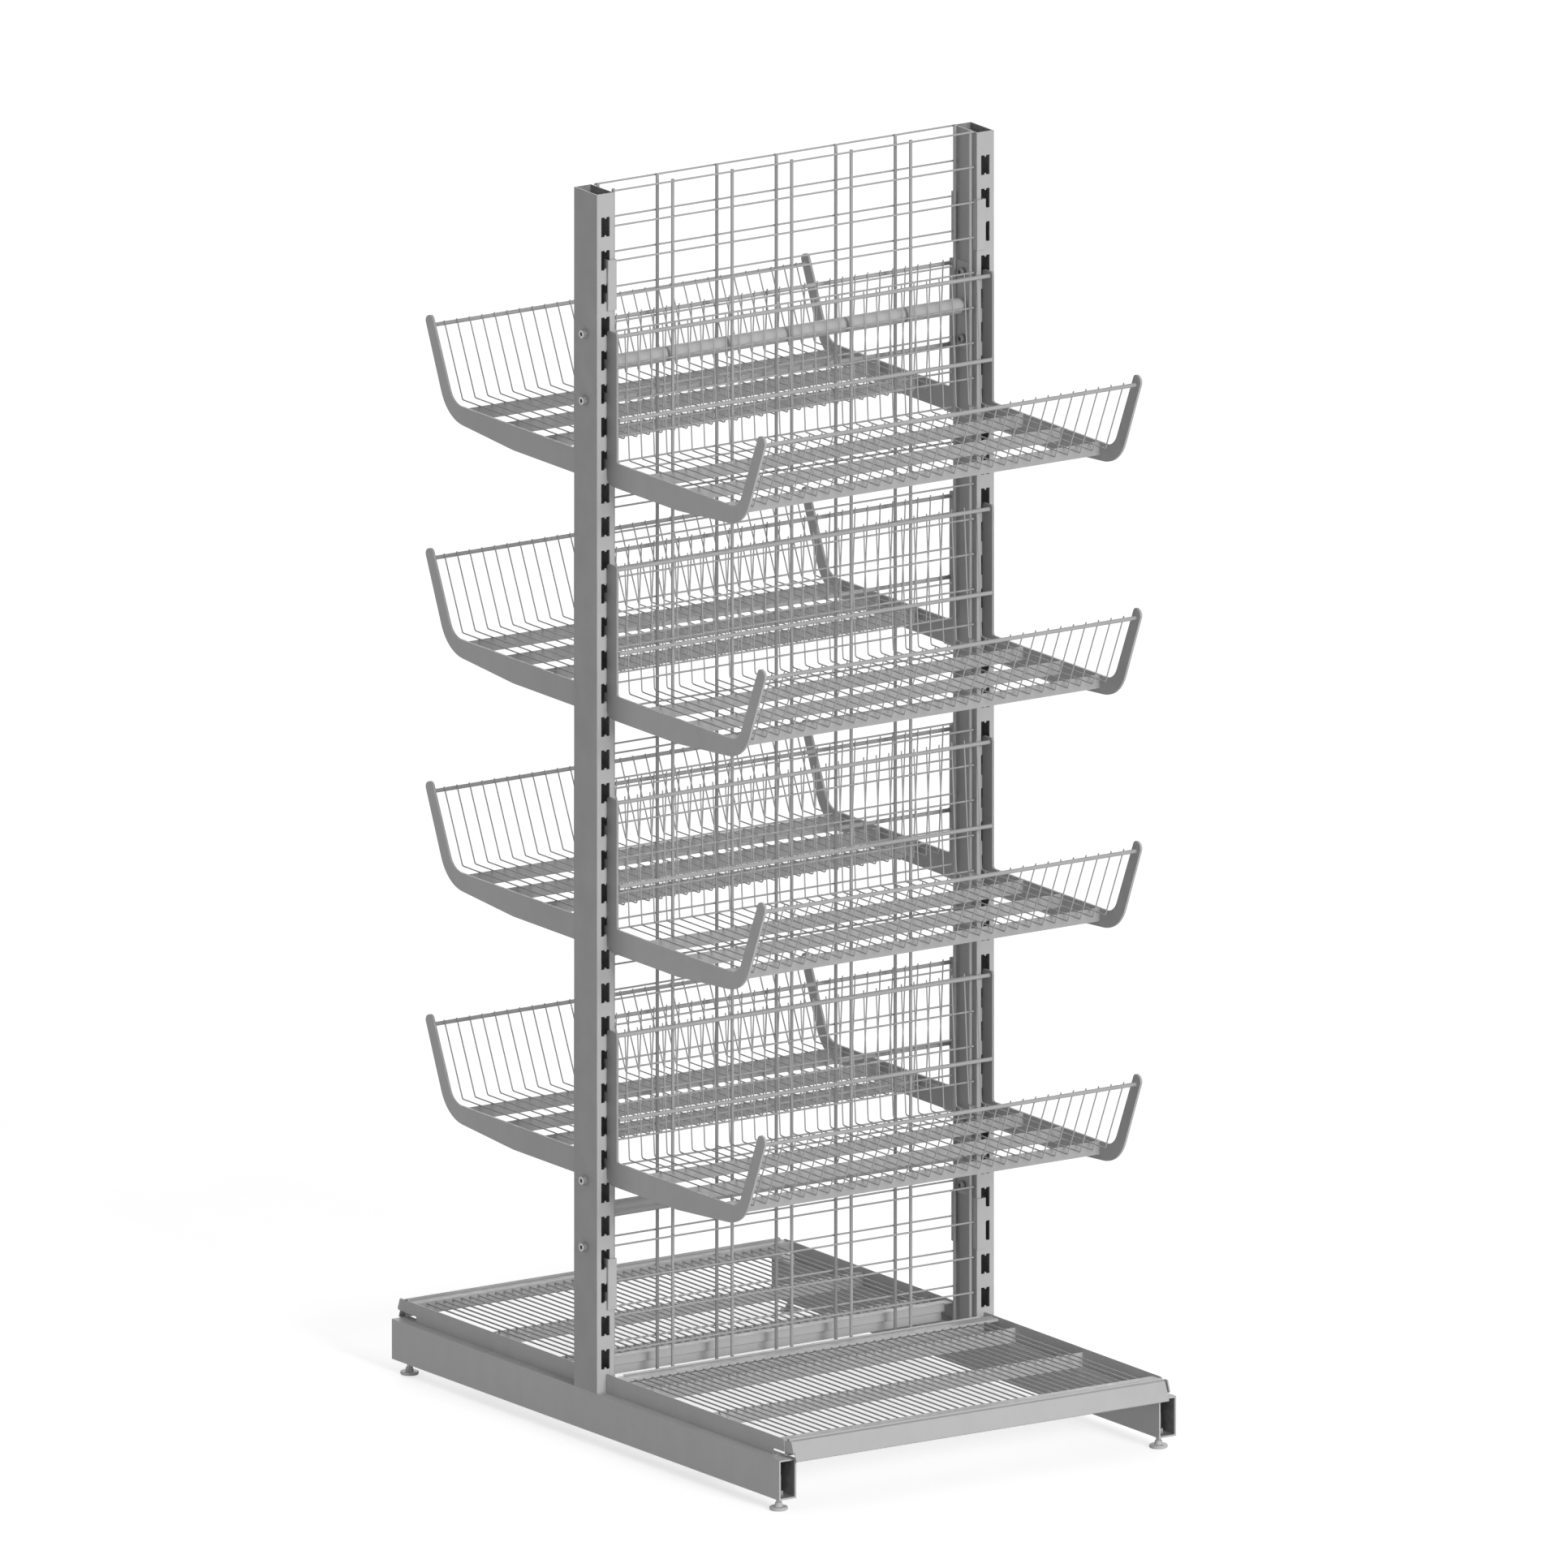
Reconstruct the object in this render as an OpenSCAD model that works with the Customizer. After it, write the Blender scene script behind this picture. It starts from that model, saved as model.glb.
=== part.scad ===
// Free-standing, double-sided gondola with wire baskets, for a shop floor.
// X runs left to right, Y front to back and Z up; the origin is on the floor, in the middle.
// The front half faces -Y, and the rear half is the same parts turned half round.

/* [Uprights] */
// Distance between the centre lines of the two uprights
bay_w = 665; // [500:5:1000]
// Width of an upright tube and of a base beam, left to right
post_w = 30; // [28:1:40]
// Depth of an upright tube, front to back
post_d = 60; // [54:1:80]
// Wall of an upright tube
post_wall = 2; // [1.5:0.1:2.5]
// Height of an upright, without the beam under it
post_h = 1800; // [1790:5:2200]

/* [Hook slots] */
// Height step from one slot to the next
slot_pitch = 50; // [46:0.5:51]
// Width of a slot
slot_w = 14.8; // [14:0.1:16]
// Height of a slot
slot_h = 29.5; // [29:0.5:32]
// Centre of the lowest slot above the upright's foot
slot_first = 50; // [30:1:60]
// Solid metal left above the highest slot at least
slot_top_edge = 30; // [10:1:60]
// Width of the small tab that parts the slot's two halves, at its top and bottom edge
slot_tab_w = 3.6; // [2:0.1:4]
// Height of that tab
slot_tab_h = 2.5; // [1:0.5:4]

/* [Hooks] */
// Height of a hook's neck, where it passes through a slot
neck_h = 15; // [8:0.5:16]
// Drop of a hook's tooth behind the upright's wall
tooth_drop = 10; // [5:0.5:12]
// Length of a hook's tooth, front to back
tooth_l = 5.5; // [3:0.5:10]
// Clearance between a tooth and the wall it drops behind
tooth_gap = 0.3; // [0.1:0.1:1]
// Clearance between a hook's side and the slot's tab
hook_side_gap = 0.2; // [0.1:0.1:0.5]

/* [Base beams] */
// Length of a base beam, front to back
beam_len = 1015; // [1000:5:1200]
// Height of a base beam
beam_h = 60; // [50:1:80]
// Wall of a base beam
beam_wall = 2.5; // [2:0.1:4]
// Clear height under a base beam
beam_lift = 20; // [19:1:30]

/* [Levelling feet] */
// Distance from a beam's end to the centre line of its foot
foot_inset = 24; // [18:1:60]
// Diameter of a foot's pad
pad_d = 27; // [20:1:40]
// Height of a foot's pad
pad_h = 5; // [4:0.5:8]
// Rounding of the pad's edges
pad_edge = 1.5; // [0.5:0.1:2]
// Diameter of the hub at the pad's top
hub_d = 13; // [11:0.5:18]
// Diameter of the hub at its own top
hub_top_d = 10; // [9.5:0.1:11]
// Height of the hub above the pad
hub_h = 6; // [3:0.5:8]
// Length of a foot's threaded stem
stem_len = 50; // [45:1:60]
// Thickness of the pad under the stem
stem_seat = 3; // [1:0.5:4]

/* [M8 fasteners] */
// Diameter of the screws and stems
thread_d = 8; // [8:0.1:8]
// Radial clearance of a thread in its nut
thread_gap = 0.05; // [0.02:0.01:0.1]
// Radial clearance of a screw in a drilled hole
hole_gap = 0.5; // [0.2:0.1:1]
// Width of a nut across its flats
nut_af = 13; // [12:0.1:14]
// Height of a nut
nut_h = 6.5; // [5:0.5:8]
// Diameter of a screw's head
head_d = 13; // [12:0.1:14]
// Height of a screw's head
head_h = 8; // [6:0.5:9]
// Width of the head's hexagon socket across its flats
socket_af = 6; // [5:0.5:7]
// Depth of the head's hexagon socket
socket_h = 4.5; // [3:0.5:5]
// Length of a screw under its head
screw_len = 41; // [41:0.5:45]

/* [Cross tubes] */
// Diameter of a cross tube
tube_d = 23; // [19:0.5:28]
// Wall of a cross tube
tube_wall = 2; // [1:0.1:3]
// Distance from the end of a cross tube to the upright beside it
tube_end_gap = 11.5; // [11:0.5:20]
// Diameter of the spigot that joins the tube to its end plate
spigot_d = 17; // [12:0.5:18]
// Depth of the spigot inside the tube
spigot_in = 20; // [10:1:40]
// Thickness of an end plate
plate_t = 3; // [2:0.5:4]
// Width of an end plate, front to back
plate_w = 34; // [24:1:35]
// Height of an end plate
plate_h = 130; // [120:5:160]
// Height step between the two screws of an end plate
screw_step = 100; // [80:1:105]
// Height of the lower cross tube above the uprights' foot
lower_tube_z = 265; // [200:5:300]
// Height of the upper cross tube above the uprights' foot
upper_tube_z = 1536; // [1300:1:1600]

/* [Mesh panels] */
// Diameter of a vertical rod
rod_d = 5; // [4:0.1:6]
// Number of vertical rods
rod_n = 7; // [4:1:10]
// Height of the rods' tops above the uprights' tops
rod_rise = 3; // [-20:0.5:10]
// Distance from the uprights' foot up to the rods' lower ends
rod_foot_gap = 3; // [1:0.5:10]
// Distance from an upright's side to the centre of the rod beside it
rod_side = 5.1; // [4.9:0.1:10]
// Distance from the uprights' face back to the rods' centre
rod_back = 9.8; // [9.5:0.1:9.9]
// Diameter of a horizontal wire
mesh_d = 2.8; // [2:0.1:4]
// Height step from one horizontal wire to the next
mesh_pitch = 52.8; // [40:0.1:53]
// Distance from the rods' top end down to the highest wire
mesh_top = 2.4; // [1.8:0.1:6]
// Least distance from the rods' lower ends up to the lowest wire
mesh_foot = 30; // [10:5:50]

/* [Panel brackets] */
// Thickness of a bracket's sheet
bracket_t = 1.8; // [1:0.1:2.5]
// Height of a bracket
bracket_h = 76; // [66:1:90]
// Gap between the uprights' face and a bracket's front plate
bracket_stand = 2.2; // [0.5:0.1:4]
// Gap between an upright's side and a bracket's flange
bracket_side_gap = 0.2; // [0.1:0.1:0.5]
// Depth of a bracket's flange, front to back
bracket_depth = 11.5; // [8:0.5:14]
// Slot, counted from the lowest, that takes the upper hook of the low brackets
low_bracket_slot = 3; // [1:1:4]
// Slot that takes the upper hook of the high brackets
high_bracket_slot = 33; // [30:1:33]

/* [Basket cheeks] */
// Slot at the floor of the lowest basket, counted from the lowest slot as 0
first_basket_slot = 6; // [5:1:6]
// Slots from one basket to the next
basket_step = 7; // [6:1:7]
// Thickness of a cheek
cheek_t = 3.6; // [2:0.1:4]
// Gap between the uprights' face and a cheek's back edge
cheek_back_gap = 0.5; // [0.1:0.1:1]
// Depth of the back arm, front to back
back_arm_w = 25.5; // [20:0.5:30]
// Height of the back arm above the basket's floor
back_arm_h = 194.5; // [185:0.5:210]
// Drop of the cheek's lower edge under the basket's floor
cheek_drop = 37; // [32:0.5:50]
// Distance from the uprights' face to where the lower edge starts to rise
cheek_rise_start = 185; // [120:5:250]
// Drop of the lower edge at its front corner
cheek_front_drop = 24.6; // [22:0.1:30]
// Distance from the uprights' face to the centre of the front arm's tip
tip_reach = 404; // [380:0.1:450]
// Height of the tip's centre above the basket's floor
tip_h = 110; // [100:0.5:130]
// Width of the front arm at its tip
front_arm_w = 19.6; // [18:0.1:26]
// Angle between the front arm's edges, which part towards its foot
arm_taper = 1.1; // [0:0.1:3]
// Lean of the front arm and the wires in front of it, out of the vertical
front_lean = 24; // [15:1:30]
// Radius of the cheek's lower back corner
heel_r = 17; // [5:1:25]
// Radius of the cheek's lower front corner
toe_r = 65; // [30:1:70]
// Radius of the inner front corner
inner_r = 30; // [10:1:40]
// Radius of the small corners
small_r = 4; // [1:0.5:6]

/* [Basket wires] */
// Diameter of a bent wire
wire_d = 2; // [1.6:0.1:4]
// Number of bent wires in a basket
wire_n = 29; // [10:1:40]
// Distance from a cheek to the centre of the wire beside it
wire_side = 18.9; // [5:0.1:30]
// Distance from the uprights' face to a wire's top at the back
wire_back_top = 14; // [10:0.5:20]
// Height of that top above the basket's floor
wire_back_h = 195; // [190:0.5:205]
// Distance from the uprights' face to the back bend
wire_back_foot = 26; // [20:0.5:30]
// Distance from the uprights' face to the front bend
wire_front_foot = 351; // [320:0.5:355]
// Height of a wire's front end above the basket's floor
wire_front_h = 110; // [108:0.5:120]
// Radius of a wire's bends, to its centre line
wire_bend = 4; // [3:0.5:12]

/* [Basket rails] */
// Diameter of the rods between the cheeks
rail_d = 6; // [4:0.1:8]
// Height of the upper back rod above the basket's floor
rail_top_h = 188; // [150:1:190]
// Height of the lower back rod
rail_mid_h = 64; // [40:1:120]
// Height of the front rod
rail_front_h = 105; // [60:1:106]
// Thickness of the strips under the wires
strip_t = 2; // [1:0.1:3]
// Height of those strips
strip_h = 20; // [10:1:21]
// Distance from the uprights' face to the first strip
strip_first = 107; // [60:1:120]
// Distance from one strip to the next
strip_step = 100; // [60:1:110]
// Number of strips
strip_n = 3; // [1:1:3]

/* [Base shelf frames] */
// Distance from the beams' ends back to the front rail
shelf_inset = 11.5; // [5:0.5:30]
// Gap between the uprights' face and a side plate
shelf_back_gap = 1; // [0.5:0.1:5]
// Thickness of a side plate
side_t = 1.5; // [1:0.1:2]
// How far a side plate's outer face lies outside the hooks' outer faces
side_out = 1; // [0:0.1:2]
// Height of a side plate
side_h = 28; // [27:0.5:40]
// Length of the step in the side plate's lower edge, at the front
side_step_l = 29; // [10:1:60]
// Height of that step
side_step_h = 9.1; // [5:0.1:14]
// Radius in the corner of that step
side_step_r = 3; // [1:0.5:5]
// Radius of the side plate's upper back corner
side_back_r = 2; // [1:0.5:5]
// Radius of its upper front corner
side_front_r = 5; // [2:0.5:8]
// Thickness of the ears at the front
ear_t = 2; // [1:0.1:3]
// Length of an ear behind the end of its side plate
ear_lap = 12; // [5:1:20]
// Length of an ear at its foot
ear_l = 23.5; // [18:0.1:24]
// How far the ear's front edge leans back
ear_lean = 7; // [2:0.5:10]
// Height of an ear's top above the beams
ear_h = 27.3; // [25:0.1:30]
// Length of an ear's top edge
ear_top_l = 8; // [5:0.5:10]
// Thickness of the folded rails
rail_t = 1.5; // [1:0.1:2]
// Height of the rails' flanges above the beams
flange_z = 24.5; // [21:0.5:25]
// Distance from the uprights' face to the back rail's flange
back_rail_start = 17.5; // [12:0.5:20]
// Width of the back rail's flange
back_flange_w = 20.5; // [15:0.5:30]
// Height of the back rail's web above the beams
back_web_h = 28; // [27:0.5:30]
// Height of the upper part of the web, which stands nearest to the uprights
back_web_top_h = 12.5; // [6:0.5:20]
// Distance that the web's lower part is set back behind it
back_web_step = 8.2; // [2:0.1:12]
// Gap between the web's ends and the side plates
back_web_end = 18.3; // [1:0.1:30]
// Width of the front rail's flange
front_flange_w = 20; // [15:0.5:30]
// Gap under the front rail's web
front_web_gap = 3; // [1:0.5:8]
// Height of the lip behind the front rail's flange
front_lip_h = 16; // [4:0.5:18]
// Distance from the uprights' face to the first strip under the shelf wires
shelf_strip_first = 82; // [50:1:120]
// Distance from that strip to the next
shelf_strip_step = 176; // [100:1:200]
// Number of those strips
shelf_strip_n = 2; // [1:1:2]

/* [Base shelf wires] */
// Diameter of a shelf wire
shelf_wire_d = 2.6; // [2:0.1:4]
// Number of shelf wires
shelf_wire_n = 42; // [20:1:50]
// Distance from a side plate to the centre of the wire beside it
shelf_wire_side = 23.9; // [5:0.1:30]

/* [Fascia] */
// Thickness of the fascia's sheet
fascia_t = 1.5; // [1:0.1:2]
// Gap between the fascia's ends and the ears
fascia_gap = 1.6; // [0.2:0.1:2]
// Height of the fascia's lower edge, under the beams' top
fascia_drop = 3; // [0:0.5:10]
// Reach of the fascia's lower edge in front of the front rail
fascia_reach = 24.3; // [20:0.1:25]
// Length of the ledge on top, in front of the front rail
fascia_ledge = 12.5; // [8:0.5:14]
// Height of the bead along the fascia's back edge, above the ledge
bead_h = 2.7; // [1:0.1:3]
// Width of that bead
bead_w = 4.5; // [4:0.1:6]
// Width of the fascia's lower return
fascia_return = 8; // [3:0.5:8]

/* [Hidden] */
SIDES = [["front", 0], ["rear", 180]];
LEVELS = [1:4];
CRATE = ["left_cheek", "right_cheek", "wires", "rails"];
FEET = [["front_left", -1, -1], ["front_right", 1, -1], ["rear_left", -1, 1], ["rear_right", 1, 1]];
paint = "gainsboro";
plating = "silver";
nylon = "lightgray";
post_x = bay_w / 2;
post_in = post_x - post_w / 2;
post_out = post_x + post_w / 2;
face_u = post_d / 2;
deck_z = beam_lift + beam_h;
slot_n = floor((post_h - slot_first - slot_top_edge) / slot_pitch) + 1;
hook_out = post_x - slot_tab_w / 2 - hook_side_gap;
cheek_in = hook_out - cheek_t;
shelf_out = hook_out + side_out;
shelf_in = shelf_out - side_t;
foot_y = beam_len / 2 - foot_inset;
hub_top = pad_h + hub_h;
rod_u = face_u - rod_back;
rod_x = post_in - rod_side;
rod_len = post_h + rod_rise - rod_foot_gap;
mesh_n = floor((rod_len - mesh_top - mesh_foot) / mesh_pitch) + 1;
bracket_in = post_in - bracket_side_gap - bracket_t;
bracket_u = face_u + bracket_stand + bracket_t;
fascia_x = shelf_in - ear_t - fascia_gap;
shelf_front_u = beam_len / 2 - shelf_inset;
wire_z = wire_d / 2;
shelf_wire_z = deck_z + flange_z - shelf_wire_d / 2;
hex_ratio = 1 / cos(30);
small_corner_r = 1;
tip_flat = 1.5;
ear_dip = 1.8;
ear_slope = 1.5;
fold_r = 2;
bead_slope = 1;
bead_foot_r = 0.5;
eps = 1;
arc_steps = 10;

// Slots and outlines

function slot_z(k) = deck_z + slot_first + k * slot_pitch;
function basket_z(level) = slot_z(first_basket_slot + (level - 1) * basket_step);
function unit(v) = v / norm(v);
function half_angle(a, b, c) = acos(unit(a - b) * unit(c - b)) / 2;

// Centre of the arc of radius r that rounds corner b between a and c
function arc_centre(a, b, c, r) =
  b + unit(unit(a - b) + unit(c - b)) * r / sin(half_angle(a, b, c));

// Points of that arc, from the side of a to the side of c
function arc_points(a, b, c, r) =
  let (
    o = arc_centre(a, b, c, r),
    run = r / tan(half_angle(a, b, c)),
    p = b + unit(a - b) * run - o,
    q = b + unit(c - b) * run - o,
    start = atan2(p.y, p.x),
    turn = atan2(p.x * q.y - p.y * q.x, p * q)
  )
  [for (i = [0:arc_steps]) o + r * [cos(start + turn * i / arc_steps), sin(start + turn * i / arc_steps)]];

function flat(p) = [p.x, p.y];

// A closed outline from corners [u, z, radius]
function rounded(corners) =
  let (n = len(corners))
  [
    for (i = [0:n - 1])
      for (p = corners[i].z == 0
        ? [flat(corners[i])]
        : arc_points(
          flat(corners[(i + n - 1) % n]), flat(corners[i]), flat(corners[(i + 1) % n]), corners[i].z
        )) p
  ];

// An open line from corners [u, z, radius]
function rounded_line(corners) =
  let (n = len(corners))
  [
    for (i = [0:n - 1])
      for (p = corners[i].z == 0
        ? [flat(corners[i])]
        : arc_points(flat(corners[i - 1]), flat(corners[i]), flat(corners[i + 1]), corners[i].z)) p
  ];

function right_of(d) = [d.y, -d.x];

// The line moved by t to its right side
function offset_line(line, t) =
  let (n = len(line))
  [
    for (i = [0:n - 1])
      let (
        before = right_of(unit(line[max(i, 1)] - line[max(i, 1) - 1])),
        after = right_of(unit(line[min(i, n - 2) + 1] - line[min(i, n - 2)]))
      )
      line[i] + t * (before + after) / (1 + before * after)
  ];

// The outline of a folded sheet whose one face follows a line and whose other face is on its right
function sheet(line, t) =
  let (other = offset_line(line, t))
  concat(line, [for (i = [len(other) - 1:-1:0]) other[i]]);

// The corners of a hook in a slot, from its neck's top round its tooth to its neck's foot.
// u is where the hook leaves its plate, and z the centre of its slot.
function hook_corners(u, z) =
  let (
    tooth_u = face_u - post_wall - tooth_gap,
    foot = z - slot_h / 2,
    tip_u = tooth_u - tooth_l
  )
  [
    [u, foot + neck_h, 0],
    [tip_u, foot + neck_h, small_corner_r],
    [tip_u, foot - tooth_drop, small_corner_r],
    [tooth_u, foot - tooth_drop, small_corner_r],
    [tooth_u, foot, 0],
    [u, foot, 0]
  ];

// Draws a profile given as [distance towards the front, height], from x1 to x2
module along_x(x1, x2) {
  translate([x2, 0, 0])
    rotate([90, 0, -90])
      linear_extrude(x2 - x1)
        children();
}

module box(x1, x2, y1, y2, z1, z2) {
  translate([x1, y1, z1])
    cube([x2 - x1, y2 - y1, z2 - z1]);
}

module x_rod(d, x1, x2, u, z) {
  translate([x1, -u, z])
    rotate([0, 90, 0])
      cylinder(d = d, h = x2 - x1, $fn = 48);
}

module both_sides() {
  children();
  mirror([1, 0, 0])
    children();
}

module nut(bore_d) {
  difference() {
    cylinder(d = nut_af * hex_ratio, h = nut_h, $fn = 6);
    translate([0, 0, -eps])
      cylinder(d = bore_d, h = nut_h + 2 * eps, $fn = 48);
  }
}

// Uprights and base beams

module slot_outline() {
  w = slot_w / 2;
  h = slot_h / 2;
  t = slot_tab_w / 2;
  polygon([
    [-w, -h], [-t, -h], [-t / 2, slot_tab_h - h], [t / 2, slot_tab_h - h], [t, -h], [w, -h],
    [w, h], [t, h], [t / 2, h - slot_tab_h], [-t / 2, h - slot_tab_h], [-t, h], [-w, h]
  ]);
}

module upright(x) {
  color(paint)
    difference() {
      box(x - post_w / 2, x + post_w / 2, -post_d / 2, post_d / 2, deck_z, deck_z + post_h);
      box(
        x - post_w / 2 + post_wall, x + post_w / 2 - post_wall,
        -post_d / 2 + post_wall, post_d / 2 - post_wall,
        deck_z - eps, deck_z + post_h + eps
      );
      for (k = [0:slot_n - 1])
        translate([x, post_d / 2 + eps, slot_z(k)])
          rotate([90, 0, 0])
            linear_extrude(post_d + 2 * eps)
              slot_outline();
      for (z = [lower_tube_z, upper_tube_z], s = [-1, 1])
        x_rod(
          thread_d + 2 * hole_gap, x - post_w / 2 - eps, x + post_w / 2 + eps,
          0, deck_z + z + s * screw_step / 2
        );
    }
}

module base_beam(x) {
  color(paint)
    difference() {
      box(x - post_w / 2, x + post_w / 2, -beam_len / 2, beam_len / 2, beam_lift, deck_z);
      box(
        x - post_w / 2 + beam_wall, x + post_w / 2 - beam_wall,
        -beam_len / 2 - eps, beam_len / 2 + eps,
        beam_lift + beam_wall, deck_z - beam_wall
      );
      for (y = [-foot_y, foot_y])
        translate([x, y, beam_lift - eps])
          cylinder(d = thread_d + 2 * hole_gap, h = beam_wall + 2 * eps, $fn = 48);
    }
}

// Levelling feet

module foot_nuts() {
  color(plating)
    for (f = FEET)
      translate([f[1] * post_x, f[2] * foot_y, beam_lift + beam_wall])
        nut(thread_d + 2 * thread_gap);
}

module foot_pad(x, y) {
  e = pad_edge;
  profile = rounded([
    [0, 0, 0], [pad_d / 2, 0, e], [pad_d / 2, pad_h, e], [hub_d / 2, pad_h, 0],
    [hub_top_d / 2, hub_top, 0], [0, hub_top, 0]
  ]);
  color(nylon)
    translate([x, y, 0])
      difference() {
        rotate_extrude($fn = 96)
          polygon(profile);
        translate([0, 0, stem_seat])
          cylinder(d = thread_d + 2 * thread_gap, h = hub_top, $fn = 48);
      }
}

module foot_stem(x, y) {
  color(plating)
    translate([x, y, stem_seat])
      cylinder(d = thread_d, h = stem_len, $fn = 48);
}

// Cross tubes and their fasteners

module end_plate(z) {
  difference() {
    box(post_in - plate_t, post_in, -plate_w / 2, plate_w / 2, z - plate_h / 2, z + plate_h / 2);
    for (s = [-1, 1])
      x_rod(
        thread_d + 2 * hole_gap, post_in - plate_t - eps, post_in + eps,
        0, z + s * screw_step / 2
      );
  }
}

module spigot(z) {
  x_rod(spigot_d, post_in - tube_end_gap - spigot_in, post_in - plate_t, 0, z);
}

module cross_tube(height) {
  z = deck_z + height;
  end_x = post_in - tube_end_gap;
  color(paint) {
    difference() {
      x_rod(tube_d, -end_x, end_x, 0, z);
      x_rod(tube_d - 2 * tube_wall, -end_x - eps, end_x + eps, 0, z);
    }
    both_sides() {
      end_plate(z);
      spigot(z);
      difference() {
        x_rod(tube_d - 2 * tube_wall, end_x - spigot_in, end_x, 0, z);
        x_rod(spigot_d, end_x - spigot_in - eps, end_x + eps, 0, z);
      }
    }
  }
}

// A screw along +X, with the underside of its head at x
module screw(x, z) {
  translate([x, 0, z])
    rotate([0, 90, 0]) {
      cylinder(d = thread_d, h = screw_len, $fn = 48);
      difference() {
        translate([0, 0, -head_h])
          cylinder(d = head_d, h = head_h, $fn = 64);
        translate([0, 0, -head_h - eps])
          cylinder(d = socket_af * hex_ratio, h = socket_h + eps, $fn = 6);
      }
    }
}

module cross_tube_screws() {
  color(plating)
    for (h = [lower_tube_z, upper_tube_z], s = [-1, 1], x = [-post_out, post_in - plate_t])
      screw(x, deck_z + h + s * screw_step / 2);
}

module cross_tube_nuts() {
  color(plating)
    for (h = [lower_tube_z, upper_tube_z], s = [-1, 1], x = [-post_in + plate_t, post_out])
      translate([x, 0, deck_z + h + s * screw_step / 2])
        rotate([0, 90, 0])
          nut(thread_d + 2 * thread_gap);
}

// Mesh panels, drawn on the front side

module mesh_panel() {
  low = deck_z + rod_foot_gap;
  color(paint) {
    for (i = [0:rod_n - 1])
      translate([rod_x * (2 * i / (rod_n - 1) - 1), -rod_u, low])
        cylinder(d = rod_d, h = rod_len, $fn = 32);
    for (i = [0:mesh_n - 1])
      x_rod(
        mesh_d, -bracket_in, bracket_in,
        rod_u + (rod_d + mesh_d) / 2, low + rod_len - mesh_top - i * mesh_pitch
      );
  }
}

module panel_bracket(upper_slot) {
  top = slot_z(upper_slot) - slot_h / 2 + neck_h;
  foot = top - bracket_h;
  plate_u = face_u + bracket_stand;
  web = rounded(concat(
    [[plate_u, foot, 0], [plate_u, top, 0]],
    hook_corners(face_u + bracket_stand / 2, slot_z(upper_slot)),
    hook_corners(face_u + bracket_stand / 2, slot_z(upper_slot - 1)),
    [[face_u + bracket_stand / 2, foot, 0]]
  ));
  box(bracket_in, hook_out, -bracket_u, -plate_u, foot, top);
  box(bracket_in, bracket_in + bracket_t, -plate_u, -bracket_u + bracket_depth, foot, top);
  along_x(hook_out - bracket_t, hook_out)
    polygon(web);
}

module panel_hooks() {
  color(paint)
    for (k = [low_bracket_slot, high_bracket_slot])
      both_sides()
        panel_bracket(k);
}

// Baskets, drawn on the front side with their floor at height 0

function basket_hooks() =
  [for (k = [3, 2, 0]) for (p = hook_corners(face_u + cheek_back_gap, k * slot_pitch)) p];

module cheek_outline() {
  lean = [sin(front_lean), cos(front_lean)];
  outer_lean = [sin(front_lean - arm_taper), cos(front_lean - arm_taper)];
  tip = [face_u + tip_reach, tip_h];
  end = tip + lean * front_arm_w / 2;
  outer = end + right_of(lean) * front_arm_w / 2;
  inner = end - right_of(lean) * front_arm_w / 2;
  toe = outer - outer_lean * (outer.y + cheek_front_drop) / outer_lean.y;
  crook = inner - lean * inner.y / lean.y;
  back = face_u + cheek_back_gap;
  tip_r = front_arm_w / 2 - tip_flat;
  polygon(rounded(concat(
    [[back, back_arm_h, small_r]],
    basket_hooks(),
    [
      [back, -cheek_drop, heel_r],
      [face_u + cheek_rise_start, -cheek_drop, 0],
      [toe.x, toe.y, toe_r],
      [outer.x, outer.y, tip_r],
      [inner.x, inner.y, tip_r],
      [crook.x, 0, inner_r],
      [back + back_arm_w, 0, small_r],
      [back + back_arm_w, back_arm_h, small_r]
    ]
  )));
}

module right_cheek() {
  color(paint)
    along_x(cheek_in, hook_out)
      cheek_outline();
}

module left_cheek() {
  mirror([1, 0, 0])
    right_cheek();
}

// Corners of a bent wire's centre line: back top, back bend, front bend, front end
back_top = [face_u + wire_back_top, wire_back_h];
back_foot = [face_u + wire_back_foot, wire_z];
front_foot = [face_u + wire_front_foot, wire_z];
front_top = front_foot + [tan(front_lean), 1] * (wire_front_h - wire_z);

// A bend is drawn a hair thicker than the wire, whose straight runs end a little inside it
bend_swell = 0.1;
bend_in = 0.5;

module straight_wire(a, b, d) {
  translate([a.x, a.y, 0])
    rotate([0, 90, atan2(b.y - a.y, b.x - a.x)])
      cylinder(d = d, h = norm(b - a), $fn = 24);
}

module wire_elbow(a, b, c) {
  o = arc_centre(a, b, c, wire_bend);
  half = half_angle(a, b, c);
  toward_c = b + unit(c - b) * wire_bend / tan(half) - o;
  toward_a = b + unit(a - b) * wire_bend / tan(half) - o;
  start = cross(toward_a, toward_c) > 0 ? toward_a : toward_c;
  translate([o.x, o.y, 0])
    rotate([0, 0, atan2(start.y, start.x)])
      rotate_extrude(angle = 180 - 2 * half, $fn = 72)
        translate([wire_bend, 0])
          circle(d = wire_d + bend_swell, $fn = 24);
}

module bent_wire() {
  run_back = wire_bend / tan(half_angle(back_top, back_foot, front_foot)) - bend_in;
  run_front = wire_bend / tan(half_angle(back_foot, front_foot, front_top)) - bend_in;
  straight_wire(back_top, back_foot + unit(back_top - back_foot) * run_back, wire_d);
  wire_elbow(back_top, back_foot, front_foot);
  straight_wire(back_foot + [run_back, 0], front_foot - [run_front, 0], wire_d);
  wire_elbow(back_foot, front_foot, front_top);
  straight_wire(front_foot + unit(front_top - front_foot) * run_front, front_top, wire_d);
}

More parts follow.
